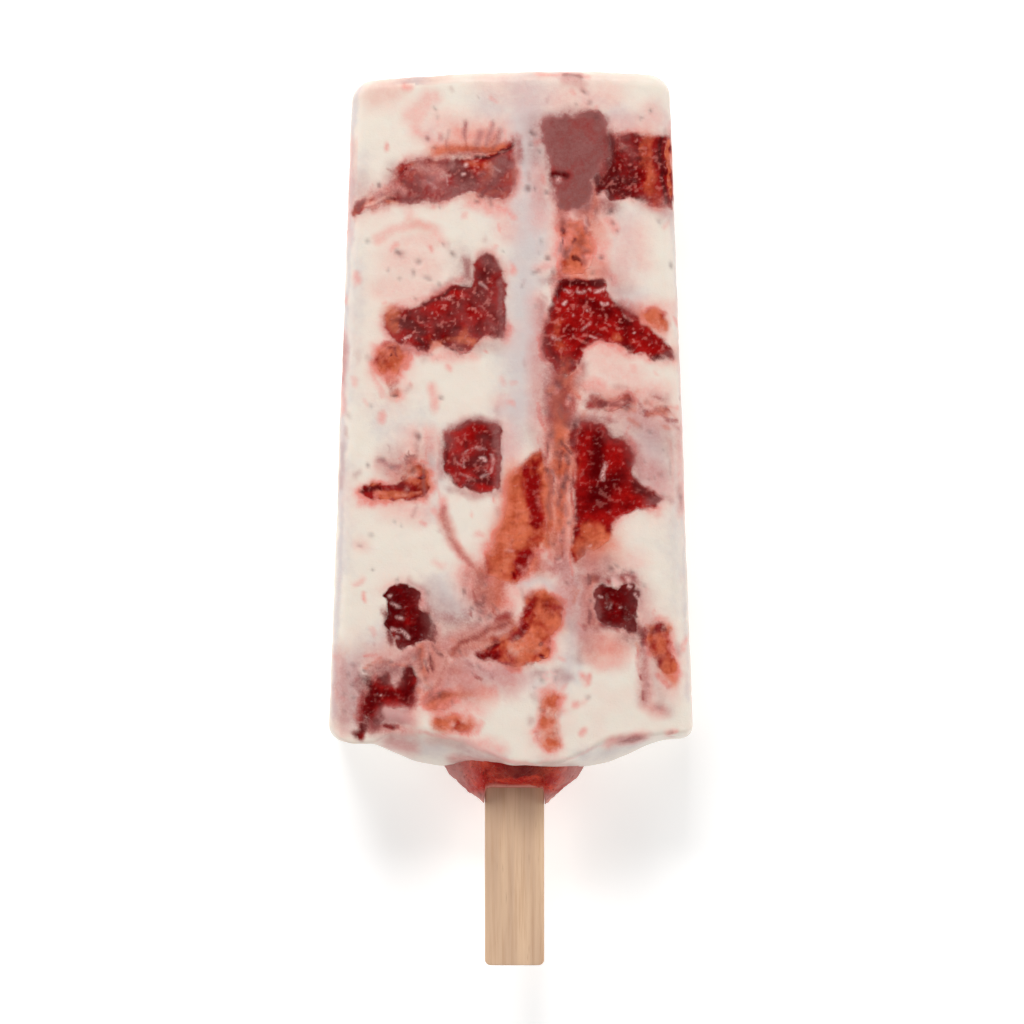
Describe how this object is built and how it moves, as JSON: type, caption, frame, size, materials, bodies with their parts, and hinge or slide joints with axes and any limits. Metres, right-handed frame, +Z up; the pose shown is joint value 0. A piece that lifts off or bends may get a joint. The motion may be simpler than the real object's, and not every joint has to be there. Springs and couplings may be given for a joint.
{
  "type": "ice pop",
  "caption": "Home-moulded frozen yoghurt pop with strawberry cuts set in its faces and a crushed-fruit collar round its flat wooden stick.",
  "frame": {"origin": "centre of the bounding box's bottom face, on the surface that the pop lies on", "axes": "+Y along the pop from the stick to the tip, +X across it, +Z up out of the face that shows"},
  "size_m": [0.0608, 0.1502, 0.0242],
  "materials": {
    "yoghurt": "frozen, satin, with juice stains and fine pores",
    "strawberry": "frozen cut fruit, wet gloss under a thin film of yoghurt in places",
    "crushed_fruit": "frosty crushed fruit",
    "wood": "bare pale wood, fine grain, darker where wet"
  },
  "bodies": {
    "root": {"berry_backBean": "strawberry", "berry_backComma": "strawberry", "berry_backDrip": "strawberry", "berry_backFan": "strawberry", "berry_backHeart": "strawberry", "berry_backSpade": "strawberry", "berry_backTuft": "strawberry", "berry_backWing": "strawberry", "berry_bean": "strawberry", "berry_comma": "strawberry", "berry_corner": "strawberry", "berry_drip": "strawberry", "berry_ember": "strawberry", "berry_fan": "strawberry", "berry_fanTail": "strawberry", "berry_flame": "strawberry", "berry_heart": "strawberry", "berry_hook": "strawberry", "berry_leftLower": "strawberry", "berry_leftUpper": "strawberry", "berry_lowerFleck": "strawberry", "berry_right": "strawberry", "berry_slab": "strawberry", "berry_slice": "strawberry", "berry_sliver": "strawberry", "berry_spade": "strawberry", "berry_squiggle": "strawberry", "berry_tip": "strawberry", "berry_trickle": "strawberry", "berry_tuft": "strawberry", "berry_upperFleck": "strawberry", "berry_wing": "strawberry", "berry_wingSpot": "strawberry", "fruit_collar": "crushed_fruit", "stick": "wood", "yoghurt": "yoghurt"}
  },
  "joints": []
}
